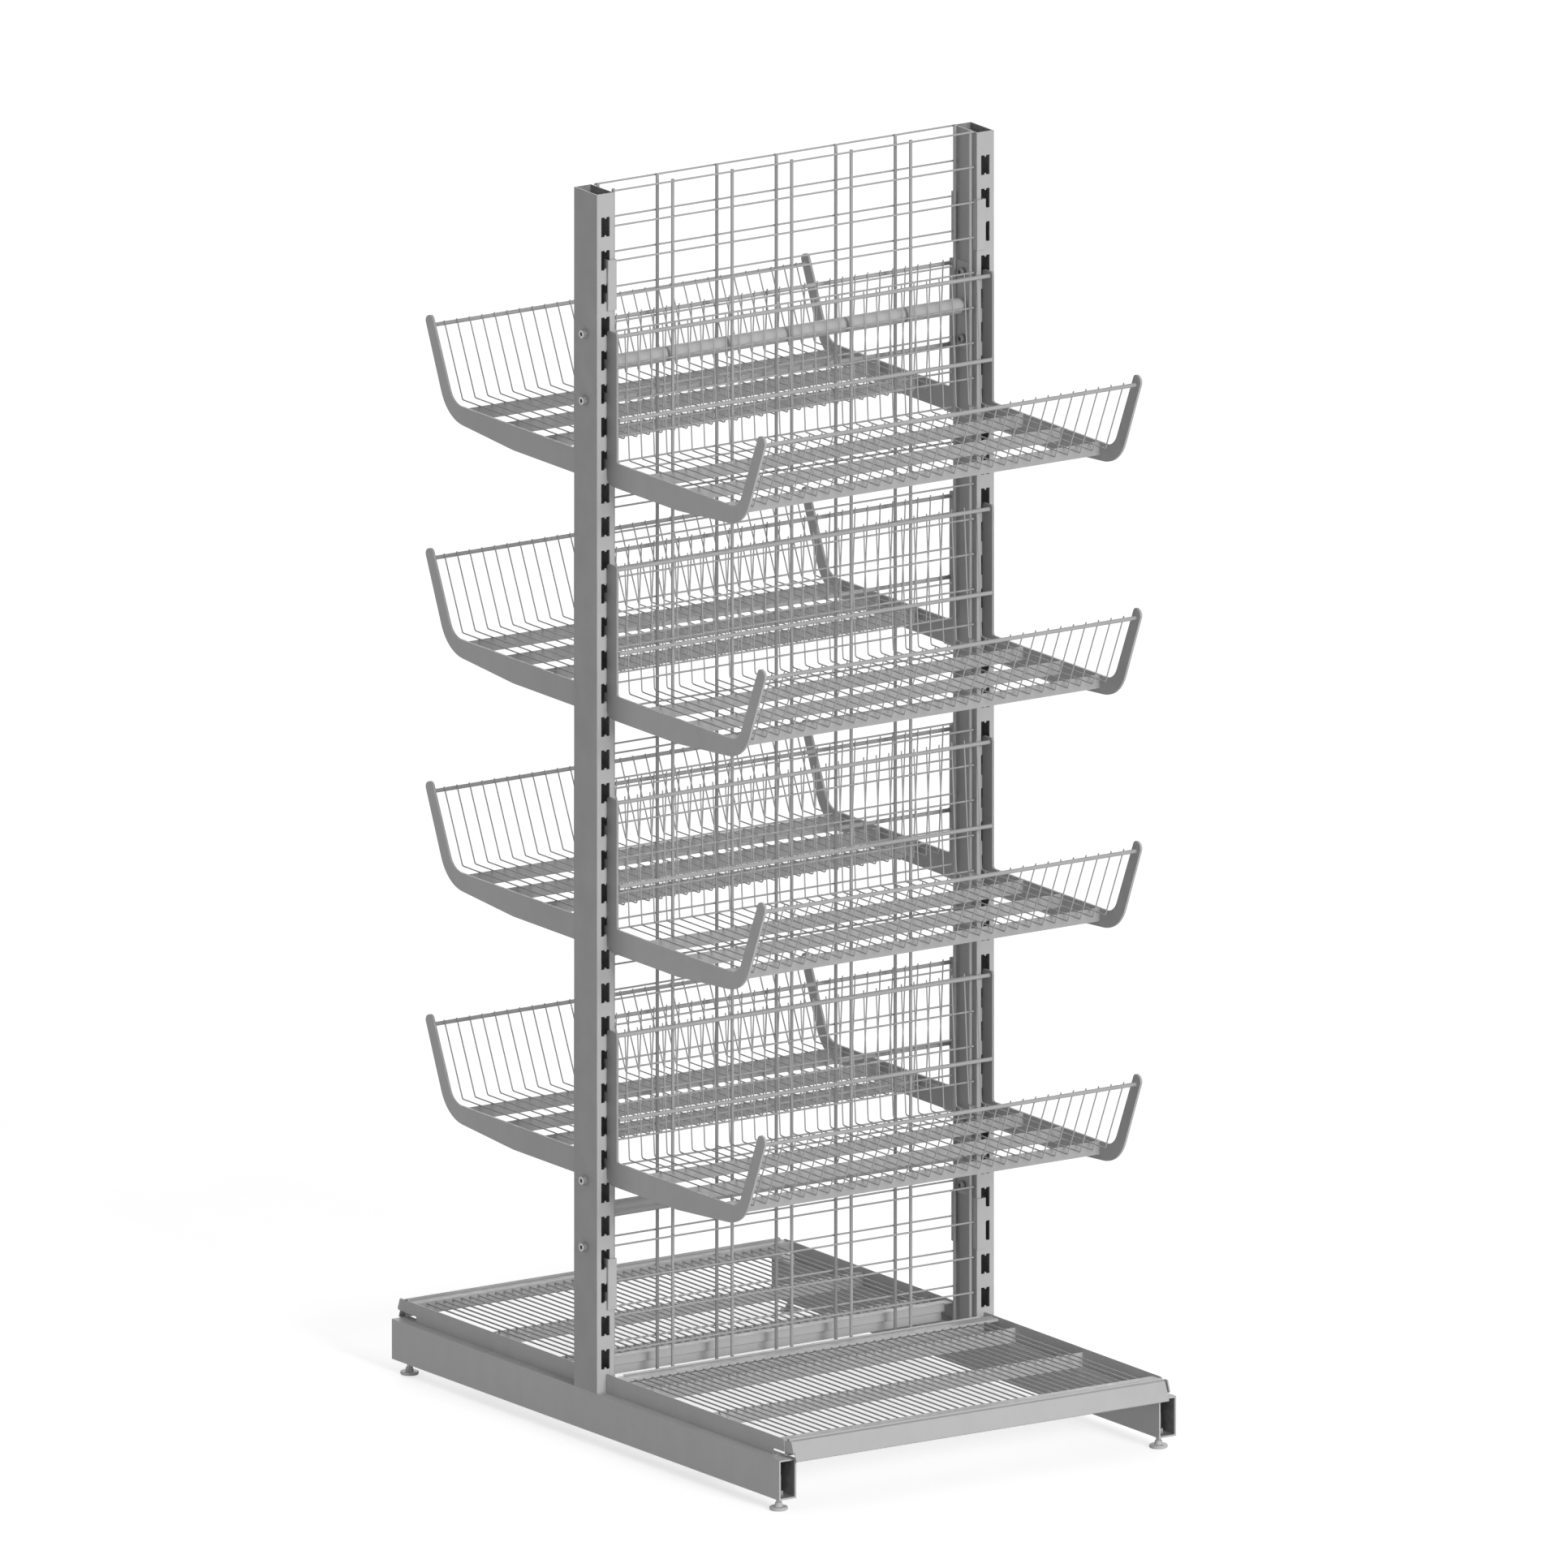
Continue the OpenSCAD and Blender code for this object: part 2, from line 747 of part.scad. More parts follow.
module basket_wires() {
  side_x = cheek_in - wire_side;
  color(paint)
    for (i = [0:wire_n - 1])
      translate([side_x * (2 * i / (wire_n - 1) - 1), 0, 0])
        rotate([90, 0, -90])
          bent_wire();
}

// Centre of a rod that lies beside the line from a to b, on its right, at height z
function beside(a, b, z) =
  let (
    d = unit(b - a),
    shift = right_of(d) * (wire_d + rail_d) / 2
  )
  a + (b - a) * (z - shift.y - a.y) / (b.y - a.y) + shift;

module basket_rails() {
  rods = [
    beside(back_foot, back_top, rail_top_h),
    beside(back_foot, back_top, rail_mid_h),
    beside(front_foot, front_top, rail_front_h)
  ];
  color(paint) {
    for (p = rods)
      x_rod(rail_d, -cheek_in, cheek_in, p.x, p.y);
    for (i = [0:strip_n - 1]) {
      u = face_u + strip_first + i * strip_step;
      box(-cheek_in, cheek_in, -u - strip_t / 2, -u + strip_t / 2, -strip_h, 0);
    }
  }
}

// Base shelves, drawn on the front side

module side_plate() {
  ear_top = deck_z + ear_h;
  ear_foot = deck_z + side_step_h;
  ear_ledge = ear_top - ear_dip;
  ear_front = shelf_front_u + ear_l;
  ear_back = ear_front - ear_lean - ear_top_l;
  along_x(shelf_in, shelf_out)
    polygon(rounded([
      [face_u + shelf_back_gap, deck_z, 0],
      [shelf_front_u - side_step_l, deck_z, 0],
      [shelf_front_u - side_step_l, deck_z + side_step_h, side_step_r],
      [shelf_front_u, deck_z + side_step_h, 0],
      [shelf_front_u, deck_z + side_h, side_front_r],
      [face_u + shelf_back_gap, deck_z + side_h, side_back_r]
    ]));
  along_x(shelf_in - ear_t, shelf_in)
    polygon(rounded([
      [shelf_front_u - ear_lap, ear_foot, 0],
      [ear_front, ear_foot, side_step_r],
      [ear_front - ear_lean, ear_top, side_back_r],
      [ear_back, ear_top, small_corner_r],
      [ear_back - ear_slope, ear_ledge, ear_dip],
      [shelf_front_u - ear_lap, ear_ledge, 0]
    ]));
}

module back_rail() {
  u = face_u + back_rail_start;
  web_u = u - rail_t;
  low_u = web_u + back_web_step;
  web_top = deck_z + back_web_h;
  web_foot = web_top - back_web_top_h;
  flange = deck_z + flange_z;
  end_x = shelf_in - back_web_end;
  along_x(-end_x, end_x)
    polygon(sheet([[low_u, deck_z], [low_u, web_foot], [web_u, web_foot], [web_u, web_top]], rail_t));
  along_x(-shelf_in, shelf_in)
    polygon([
      [u, flange], [u + back_flange_w - rail_t, flange],
      [u + back_flange_w - rail_t, flange - shelf_wire_d], [u + back_flange_w, flange - shelf_wire_d],
      [u + back_flange_w, flange + rail_t], [u, flange + rail_t]
    ]);
}

module front_rail() {
  u = shelf_front_u;
  flange = deck_z + flange_z;
  lip_u = u - front_flange_w;
  along_x(-shelf_in, shelf_in)
    polygon([
      [lip_u, flange + rail_t - front_lip_h], [lip_u, flange + rail_t], [u + rail_t, flange + rail_t],
      [u + rail_t, deck_z + front_web_gap], [u, deck_z + front_web_gap], [u, flange],
      [lip_u + rail_t, flange], [lip_u + rail_t, flange + rail_t - front_lip_h]
    ]);
}

module base_shelf_frame() {
  color(paint) {
    both_sides()
      side_plate();
    back_rail();
    front_rail();
    for (i = [0:shelf_strip_n - 1]) {
      u = face_u + shelf_strip_first + i * shelf_strip_step;
      box(-shelf_in, shelf_in, -u - strip_t / 2, -u + strip_t / 2, deck_z, shelf_wire_z - shelf_wire_d / 2);
    }
  }
}

module base_shelf_wires() {
  side_x = shelf_in - shelf_wire_side;
  back = face_u + back_rail_start + back_flange_w;
  front = shelf_front_u - front_flange_w;
  color(paint)
    for (i = [0:shelf_wire_n - 1])
      translate([side_x * (2 * i / (shelf_wire_n - 1) - 1), -back, shelf_wire_z])
        rotate([90, 0, 0])
          cylinder(d = shelf_wire_d, h = front - back, $fn = 24);
}

module base_shelf_fascia() {
  u = shelf_front_u + rail_t;
  ledge = deck_z + flange_z + rail_t;
  line = rounded_line([
    [u, deck_z + front_web_gap, 0],
    [u, ledge + bead_h, fold_r],
    [u + bead_w, ledge + bead_h, fold_r],
    [u + bead_w + bead_slope, ledge, bead_foot_r],
    [u + fascia_ledge, ledge, fold_r],
    [u + fascia_reach, deck_z - fascia_drop, fold_r],
    [u + fascia_reach - fascia_return, deck_z - fascia_drop, 0]
  ]);
  color(paint)
    along_x(-fascia_x, fascia_x)
      polygon(sheet(line, fascia_t));
}

upright(-post_x);  // left_upright
upright(post_x);  // right_upright
base_beam(-post_x);  // left_base_beam
base_beam(post_x);  // right_base_beam
cross_tube(upper_tube_z);  // upper_cross_tube
cross_tube(lower_tube_z);  // lower_cross_tube
cross_tube_screws();
cross_tube_nuts();
foot_nuts();
for (f = FEET) {
  foot_pad(f[1] * post_x, f[2] * foot_y);
  foot_stem(f[1] * post_x, f[2] * foot_y);
}
// Left and right cheeks are named as a shopper sees them who faces that side
for (s = SIDES)
  rotate([0, 0, s[1]]) {
    mesh_panel();
    panel_hooks();
    base_shelf_frame();
    base_shelf_wires();
    base_shelf_fascia();
    for (n = LEVELS)
      translate([0, 0, basket_z(n)]) {
        left_cheek();
        right_cheek();
        basket_wires();
        basket_rails();
      }
  }
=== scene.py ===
"""Looks of the double-sided wire basket gondola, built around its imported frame."""
import math
import random

import bmesh
import bpy
from mathutils import Matrix, Vector


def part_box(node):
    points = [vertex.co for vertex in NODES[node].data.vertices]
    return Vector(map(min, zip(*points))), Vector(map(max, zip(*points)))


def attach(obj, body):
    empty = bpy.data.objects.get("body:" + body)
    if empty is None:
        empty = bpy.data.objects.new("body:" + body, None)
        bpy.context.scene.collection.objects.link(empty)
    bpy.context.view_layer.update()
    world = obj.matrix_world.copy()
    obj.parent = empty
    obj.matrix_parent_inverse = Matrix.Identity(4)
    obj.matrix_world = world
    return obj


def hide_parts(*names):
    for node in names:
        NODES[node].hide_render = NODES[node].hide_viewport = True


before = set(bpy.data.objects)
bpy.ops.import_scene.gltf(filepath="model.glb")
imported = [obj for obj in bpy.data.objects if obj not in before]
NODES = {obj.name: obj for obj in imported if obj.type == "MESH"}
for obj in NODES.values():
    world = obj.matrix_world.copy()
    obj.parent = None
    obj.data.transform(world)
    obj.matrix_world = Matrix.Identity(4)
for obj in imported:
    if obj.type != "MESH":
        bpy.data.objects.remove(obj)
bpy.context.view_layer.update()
ROOT_BODY = "uprights_and_base"
SEED = 7
rng = random.Random(SEED)

MM = 0.001

# Camera: the photograph is a parallel view
PHOTO_PIXELS = 1932
PHOTO_PIXELS_PER_METRE = 846.47
PICTURE_WIDTH = PHOTO_PIXELS / PHOTO_PIXELS_PER_METRE
CAM_AZIMUTH = math.radians(-33.75)
CAM_ELEVATION = math.radians(14.20)
CAM_AIM = Vector((0.0, 0.0, 0.9408))
CAM_DISTANCE = 8.0
CAM_FAR = 60

# Light and floor; a sun is its name, direction, strength and spread in degrees
WORLD_LIGHT = 0.40
SUNS = (
    ("key", (0, -0.951, 0.309), 1.90, 18),
    ("rear_fill", (0.55, 0.82, 0.10), 1.5, 40),
)
FLOOR_RADIUS = 30.0
FLOOR_SEGMENTS = 64
FLOOR_ALBEDO = 0.75
FLOOR_GLOW = 0.6
FLOOR_DROP = 0.2 * MM

# Places on the frame that the masks in the materials need
POST_X = 332.5 * MM
POST_HALF = 15 * MM
# The bores of the uprights and beams, darkened inside with painted shade
POST_BORE_HALF = (13.1 * MM, 28.1 * MM)
BEAM_BORE_HALF = (12.6 * MM, 27.6 * MM)
BEAM_DARK_REACH = 505 * MM
BEAM_MIDDLE = 50 * MM
BEAM_TOP = 80 * MM
CHEEK_IN = 326.9 * MM
CHEEK_BACK_Y = -29.5 * MM
# Where the painted shade on the front cheeks starts, and how far it grows towards the upright
ROOT_SHADE_START_Y = -120 * MM
ROOT_SHADE_LENGTH = 90 * MM
SCREW_END = 355.2 * MM
FACE_SLACK = 0.1 * MM

# Tones of the powder coat, darkest and lightest
SHEET_TONES = (0.49, 0.52)
WIRE_TONES = (0.42, 0.45)
BEAM_TONES = (0.53, 0.56)

# Patches in the materials: noise per metre, its detail, and the value in its low and high parts
CLOUDS = (5, 4)
FLECKS = (2600, 1, 0.93, 1.0)
HANDLING = (38, 6, 0.95, 1.0)
# Painted shade: a darker patchy tone on faces that get less light
FACE_SHADE = (24, 4, 0.83, 0.89)
# Painted shade near the uprights on the front cheeks
ROOT_SHADE = (60, 5, 0.48, 0.54)
# Painted shade inside the tubes
INSIDE_SHADE = (90, 4, 0.22, 0.32)
PAINT_ROUGHNESS = (60, 5, 0.46, 0.58)
ZINC_TONE = (400, 4, 0.50, 0.62)
ZINC_ROUGHNESS = (900, 3, 0.34, 0.50)
SCREW_DULL = (400, 4, 0.22, 0.28)
SCREW_BRIGHT = (400, 4, 0.88, 0.95)
SCREW_ROUGHNESS = (900, 3, 0.45, 0.60)
NYLON_TONE = (300, 5, 0.47, 0.54)
NYLON_ROUGHNESS = (500, 3, 0.50, 0.65)

# Bumps in the materials: noise per metre, its detail, strength and height
ORANGE_PEEL = (700, 2, 0.22, 0.2 * MM)
PAINT_GRAIN = (2600, 1, 0.12, 0.1 * MM)
PLATING_GRAIN = (2500, 2, 0.15, 0.1 * MM)
NYLON_GRAIN = (1800, 3, 0.25, 0.1 * MM)

# Radii by which the bevel node softens sharp edges
SHEET_EDGE = 0.5 * MM
PLATED_EDGE = 0.2 * MM
NYLON_EDGE = 0.3 * MM
BEVEL_SAMPLES = 4

PAINT_SPECULAR = 0.12
SCREW_SPECULAR = 0.2
ZINC_METALLIC = 0.85

# Threads, screws and nuts
THREAD_PITCH = 1.25 * MM
THREAD_DEPTH = 0.42 * MM
THREAD_FLANK = 2.4
THREAD_SEGMENTS = 32
RINGS_PER_PITCH = 6
SCREW_R = 4 * MM
HEAD_R = 6.5 * MM
HEAD_H = 8 * MM
KNURL = 72
KNURL_DEPTH = 0.3 * MM
SOCKET_AF = 6 * MM
SOCKET_DEPTH = 4.5 * MM
NUT_AF = 13 * MM
NUT_FACE_R = 6.25 * MM
NUT_CHAMFER_SLOPE = 1.73
NUT_STEPS = 12
NUT_SEGMENTS = 72
BORE_R = 4.03 * MM
BORE_MOUTH_R = 4.5 * MM

# How far the basket wires lean where they cross the rods, and where the base shelf's strips lie
BACK_LEAN = math.radians(-3.6)
FRONT_LEAN = math.radians(24)
BACK_ROD_LIMIT = 0.2
SHELF_STRIPS = (112 * MM, 288 * MM)

# Weld beads: half sizes along X, Y and Z
STRIP_BEAD = (1.4 * MM, 1.3 * MM, 0.5 * MM)
STRIP_END_BEAD = (0.7 * MM, 0.7 * MM, 1.4 * MM)
ROD_BEAD = (1.6 * MM, 0.9 * MM, 1.3 * MM)
ROD_END_BEAD = (0.7 * MM, 0.8 * MM, 0.9 * MM)
MESH_BEAD = (1.8 * MM, 0.8 * MM, 1.6 * MM)
SHELF_END_BEAD = (1.5 * MM, 0.8 * MM, 1.0 * MM)
SHELF_STRIP_BEAD = (1.6 * MM, 1.3 * MM, 0.6 * MM)
POST_BEAD = (1.3 * MM, 1.6 * MM, 1.6 * MM)
TUBE_BEAD = (1.2 * MM, 1.4 * MM, 1.4 * MM)

# Weld beads: how many, and where their rows and rings lie
BEAD_UNEVEN = (0.88, 1.08)
STRIP_END_ROWS = 9
ROD_END_BEADS = 12
ROD_END_RING_R = 3.1 * MM
POST_ROW_BEADS = 9
POST_ROW_START = 333.5
POST_ROW_STEP = 1.5
TUBE_BEADS = 30
TUBE_RING_R = 8.7 * MM
TUBE_END_INSET = 3 * MM

SMOOTH_ANGLE = math.radians(35)
# Turns a shape built along +Z into one along +X
ALONG_X = Matrix.Rotation(math.pi / 2, 4, "Y")


# Scene: camera, floor and light

def make_camera():
    back = Vector((
        math.sin(CAM_AZIMUTH) * math.cos(CAM_ELEVATION),
        -math.cos(CAM_AZIMUTH) * math.cos(CAM_ELEVATION),
        math.sin(CAM_ELEVATION),
    ))
    cam = bpy.data.objects.new("camera", bpy.data.cameras.new("camera"))
    cam.data.type = "ORTHO"
    cam.data.ortho_scale = PICTURE_WIDTH
    cam.data.clip_end = CAM_FAR
    cam.location = CAM_AIM + back * CAM_DISTANCE
    cam.rotation_mode = "QUATERNION"
    cam.rotation_quaternion = (-back).to_track_quat("-Z", "Y")
    bpy.context.scene.collection.objects.link(cam)
    bpy.context.scene.camera = cam


def make_sun(name, toward, strength, spread):
    """A soft distant lamp that shines from the direction toward."""
    data = bpy.data.lights.new(name, "SUN")
    data.energy = strength
    data.angle = math.radians(spread)
    lamp = bpy.data.objects.new(name, data)
    lamp.rotation_mode = "QUATERNION"
    lamp.rotation_quaternion = Vector(toward).to_track_quat("Z", "Y")
    bpy.context.scene.collection.objects.link(lamp)


def seen_directly(tree):
    """1 for camera, glossy and transmission rays, else 0."""
    path = tree.nodes.new("ShaderNodeLightPath")
    first = tree.nodes.new("ShaderNodeMath")
    first.operation = "MAXIMUM"
    second = tree.nodes.new("ShaderNodeMath")
    second.operation = "MAXIMUM"
    tree.links.new(path.outputs["Is Camera Ray"], first.inputs[0])
    tree.links.new(path.outputs["Is Glossy Ray"], first.inputs[1])
    tree.links.new(first.outputs[0], second.inputs[0])
    tree.links.new(path.outputs["Is Transmission Ray"], second.inputs[1])
    return second.outputs[0]


def make_world():
    """Even white light from all round, and a backdrop that is plain white to the camera."""
    world = bpy.data.worlds.new("studio")
    bpy.context.scene.world = world
    world.use_nodes = True
    tree = world.node_tree
    tree.nodes.clear()
    light = tree.nodes.new("ShaderNodeBackground")
    light.inputs["Strength"].default_value = WORLD_LIGHT
    backdrop = tree.nodes.new("ShaderNodeBackground")
    mix = tree.nodes.new("ShaderNodeMixShader")
    out = tree.nodes.new("ShaderNodeOutputWorld")
    for b in (light, backdrop):
        b.inputs["Color"].default_value = (1, 1, 1, 1)
    tree.links.new(seen_directly(tree), mix.inputs[0])
    tree.links.new(light.outputs[0], mix.inputs[1])
    tree.links.new(backdrop.outputs[0], mix.inputs[2])
    tree.links.new(mix.outputs[0], out.inputs[0])


def make_floor():
    """A pale floor whose lit part is white to the camera and which keeps the object's soft shadow."""
    mesh = bpy.data.meshes.new("floor")
    bm = bmesh.new()
    bmesh.ops.create_circle(bm, cap_ends=True, segments=FLOOR_SEGMENTS, radius=FLOOR_RADIUS)
    bm.to_mesh(mesh)
    bm.free()
    floor = bpy.data.objects.new("floor", mesh)
    floor.location.z = -FLOOR_DROP
    bpy.context.scene.collection.objects.link(floor)
    mat = bpy.data.materials.new("floor")
    mat.use_nodes = True
    tree = mat.node_tree
    tree.nodes.clear()
    diffuse = tree.nodes.new("ShaderNodeBsdfDiffuse")
    diffuse.inputs["Color"].default_value = (FLOOR_ALBEDO, FLOOR_ALBEDO, FLOOR_ALBEDO, 1)
    emit = tree.nodes.new("ShaderNodeEmission")
    add = tree.nodes.new("ShaderNodeAddShader")
    level = tree.nodes.new("ShaderNodeMath")
    level.operation = "MULTIPLY"
    level.inputs[1].default_value = FLOOR_GLOW
    out = tree.nodes.new("ShaderNodeOutputMaterial")
    tree.links.new(seen_directly(tree), level.inputs[0])
    tree.links.new(level.outputs[0], emit.inputs["Strength"])
    tree.links.new(diffuse.outputs[0], add.inputs[0])
    tree.links.new(emit.outputs[0], add.inputs[1])
    tree.links.new(add.outputs[0], out.inputs[0])
    mesh.materials.append(mat)


# Materials

class Shader:
    """A Principled material with a few helpers for procedural detail in object space."""

    def __init__(self, name):
        self.mat = bpy.data.materials.new(name)
        self.mat.use_nodes = True
        self.tree = self.mat.node_tree
        self.bsdf = self.tree.nodes["Principled BSDF"]
        self.coords = self.tree.nodes.new("ShaderNodeTexCoord").outputs["Object"]

    def place(self):
        """The coordinates x, y and z, in metres."""
        node = self.tree.nodes.new("ShaderNodeSeparateXYZ")
        self.tree.links.new(self.coords, node.inputs[0])
        return node.outputs

    def noise(self, per_metre, detail, stretch=(1, 1, 1)):
        scaled = self.tree.nodes.new("ShaderNodeMapping")
        scaled.inputs["Scale"].default_value = [per_metre * s for s in stretch]
        tex = self.tree.nodes.new("ShaderNodeTexNoise")
        tex.inputs["Scale"].default_value = 1.0
        tex.inputs["Detail"].default_value = detail
        self.tree.links.new(self.coords, scaled.inputs["Vector"])
        self.tree.links.new(scaled.outputs[0], tex.inputs["Vector"])
        return tex.outputs["Fac"]

    def patches(self, per_metre, detail, low, high, span=(0.3, 0.7), stretch=(1, 1, 1)):
        """Noise that runs from low to high over the given span of its range."""
        node = self.tree.nodes.new("ShaderNodeValToRGB")
        for element, place, value in zip(node.color_ramp.elements, span, (low, high)):
            element.position = place
            element.color = (value, value, value, 1)
        self.tree.links.new(self.noise(per_metre, detail, stretch), node.inputs[0])
        return node.outputs[0]

    def math(self, kind, a, b=0.0):
        node = self.tree.nodes.new("ShaderNodeMath")
        node.operation = kind
        for socket, value in zip(node.inputs, (a, b)):
            if isinstance(value, bpy.types.NodeSocket):
                self.tree.links.new(value, socket)
            else:
                socket.default_value = value
        return node.outputs[0]

    def near(self, value, centre, half):
        """1 where the value lies within half of the centre, else 0."""
        away = self.math("ABSOLUTE", self.math("SUBTRACT", value, centre))
        return self.math("LESS_THAN", away, half)

    def blend(self, kind, a, b, amount=1.0):
        node = self.tree.nodes.new("ShaderNodeMix")
        node.data_type = "RGBA"
        node.blend_type = kind
        if isinstance(amount, bpy.types.NodeSocket):
            self.tree.links.new(amount, node.inputs["Factor"])
        else:
            node.inputs["Factor"].default_value = amount
        self.tree.links.new(a, node.inputs["A"])
        self.tree.links.new(b, node.inputs["B"])
        return node.outputs["Result"]

    def bump(self, grains, edge=None):
        """Chains bumps, over edges that are rounded by the radius edge."""
        normal = None
        if edge:
            round_edge = self.tree.nodes.new("ShaderNodeBevel")
            round_edge.samples = BEVEL_SAMPLES
            round_edge.inputs["Radius"].default_value = edge
            normal = round_edge.outputs[0]
        for per_metre, detail, strength, height in grains:
            node = self.tree.nodes.new("ShaderNodeBump")
            node.inputs["Strength"].default_value = strength
            node.inputs["Distance"].default_value = height
            self.tree.links.new(self.noise(per_metre, detail), node.inputs["Height"])
            if normal:
                self.tree.links.new(normal, node.inputs["Normal"])
            normal = node.outputs[0]
        self.tree.links.new(normal, self.bsdf.inputs["Normal"])

    def set(self, **values):
        for name, value in values.items():
            socket = self.bsdf.inputs[name.replace("_", " ")]
            if isinstance(value, bpy.types.NodeSocket):
                self.tree.links.new(value, socket)
            else:
                socket.default_value = value


# Masks: 1 on the part of a material that each function's name says, else 0

# Painted shade: the bores of the uprights, with the hook teeth that sit in them
def upright_inside(s, x, y, z):
    half_x, half_y = POST_BORE_HALF
    return s.math("MULTIPLY", s.near(s.math("ABSOLUTE", x), POST_X, half_x), s.near(y, 0.0, half_y))


# Painted shade: the bores of the beams, out to BEAM_DARK_REACH along them
def beam_inside(s, x, y, z):
    half_x, half_z = BEAM_BORE_HALF
    section = s.math(
        "MULTIPLY",
        s.near(s.math("ABSOLUTE", x), POST_X, half_x),
        s.near(z, BEAM_MIDDLE, half_z),
    )
    return s.math("MULTIPLY", section, s.near(y, 0.0, BEAM_DARK_REACH))


# Painted shade on the uprights' side faces
def upright_sides(s, x, y, z):
    away = s.math("ABSOLUTE", s.math("SUBTRACT", s.math("ABSOLUTE", x), POST_X))
    return s.math("GREATER_THAN", away, POST_HALF - FACE_SLACK)


# Painted shade on the cheeks' inner faces
def cheek_inner(s, x, y, z):
    return s.math("LESS_THAN", s.math("ABSOLUTE", x), CHEEK_IN + FACE_SLACK)


def cheek_root(s, x, y, z):
    """Painted shade that grows towards the upright over the back of the front cheeks."""
    reach = s.math("DIVIDE", s.math("SUBTRACT", y, ROOT_SHADE_START_Y), ROOT_SHADE_LENGTH)
    grown = s.math("POWER", s.math("MAXIMUM", s.math("MINIMUM", reach, 1.0), 0.0), 2.0)
    return s.math("MULTIPLY", grown, s.math("LESS_THAN", y, CHEEK_BACK_Y))


# Painted shade on the beams' top faces
def beam_top(s, x, y, z):
    return s.math("GREATER_THAN", z, BEAM_TOP - FACE_SLACK)


def paint(name, tones, edge, inside=None, shaded_faces=None, shaded_root=None):
    """Light grey powder coat: fine orange peel, faint cloudiness and a little rubbed-in dirt.
    Inside a tube it is darkened with painted shade, which also falls on the hooks' teeth there.
    The faces picked by the next mask get a darker patchy tone of painted shade, as less light falls on
    them, and those picked by the last get painted shade that grows towards the upright."""
    s = Shader(name)
    colour = s.blend(
        "MULTIPLY", s.patches(*CLOUDS, *tones), s.patches(*FLECKS, span=(0.25, 0.55))
    )
    handling = s.patches(*HANDLING, span=(0.2, 0.6), stretch=(1, 1, 0.5))
    colour = s.blend("MULTIPLY", colour, handling)
    place = s.place()
    # A darker patchy tone of painted shade on faces that get less light
    if shaded_faces:
        colour = s.blend("MULTIPLY", colour, s.patches(*FACE_SHADE), shaded_faces(s, *place))
    # Painted shade growing towards the upright over the back of the front cheeks
    if shaded_root:
        colour = s.blend("MULTIPLY", colour, s.patches(*ROOT_SHADE), shaded_root(s, *place))
    # Painted shade inside the tubes and on the hook teeth there
    if inside:
        colour = s.blend("MIX", colour, s.patches(*INSIDE_SHADE), inside(s, *place))
    s.set(Base_Color=colour, Roughness=s.patches(*PAINT_ROUGHNESS))
    s.set(Specular_IOR_Level=PAINT_SPECULAR)
    s.bump([ORANGE_PEEL, PAINT_GRAIN], edge)
    return s.mat


def zinc(name):
    """Bright zinc plating with a faint grain and duller patches."""
    s = Shader(name)
    s.set(
        Base_Color=s.patches(*ZINC_TONE),
        Metallic=ZINC_METALLIC,
        Roughness=s.patches(*ZINC_ROUGHNESS),
    )
    s.bump([PLATING_GRAIN], PLATED_EDGE)
    return s.mat


def screw_steel(name):
    """Dull plated screws, brighter on the end faces outside the uprights."""
    s = Shader(name)
    x = s.place()[0]
    end = s.math("GREATER_THAN", s.math("ABSOLUTE", x), SCREW_END)
    s.set(
        Base_Color=s.blend("MIX", s.patches(*SCREW_DULL), s.patches(*SCREW_BRIGHT), end),
        Specular_IOR_Level=SCREW_SPECULAR,
        Roughness=s.patches(*SCREW_ROUGHNESS),
    )
    s.bump([PLATING_GRAIN], PLATED_EDGE)
    return s.mat


def nylon(name):
    """Pale moulded nylon of the foot pads, a little scuffed."""
    s = Shader(name)
    s.set(
        Base_Color=s.patches(*NYLON_TONE, span=(0.25, 0.6)),
        Roughness=s.patches(*NYLON_ROUGHNESS),
    )
    s.bump([NYLON_GRAIN], NYLON_EDGE)
    return s.mat


def dress_frame():
    """Gives every CAD node its material."""
    for name, obj in NODES.items():
        if name.endswith("foot_pad"):
            mat = NYLON
        elif name.endswith(("foot_stem", "screws", "nuts")):
            mat = ZINC
        elif name.endswith(("wires", "mesh_panel", "rails")):
            mat = PAINT_WIRE
        elif name.endswith("upright"):
            mat = PAINT_UPRIGHT
        elif name.endswith("beam"):
            mat = PAINT_BEAM
        elif name.endswith("panel_hooks"):
            mat = PAINT_HOOK
        elif name.endswith("cheek"):
            mat = PAINT_CHEEK
        else:
            mat = PAINT_SHEET
        obj.data.materials.clear()
        obj.data.materials.append(mat)


# Mesh building

def add_piece(name, shape, body, material):
    """A mesh object, shaded smooth but for its sharp edges, that rides on a body."""
    mesh = bpy.data.meshes.new(name)
    mesh.from_pydata(shape.verts, [], shape.faces)
    bm = bmesh.new()
    bm.from_mesh(mesh)
    bmesh.ops.recalc_face_normals(bm, faces=bm.faces)
    for face in bm.faces:
        face.smooth = True
    for e in bm.edges:
        if len(e.link_faces) == 2 and e.calc_face_angle() > SMOOTH_ANGLE:
            e.smooth = False
    bm.to_mesh(mesh)
    bm.free()
    mesh.materials.append(material)
    obj = bpy.data.objects.new(name, mesh)
    bpy.context.scene.collection.objects.link(obj)
    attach(obj, body)
    return obj


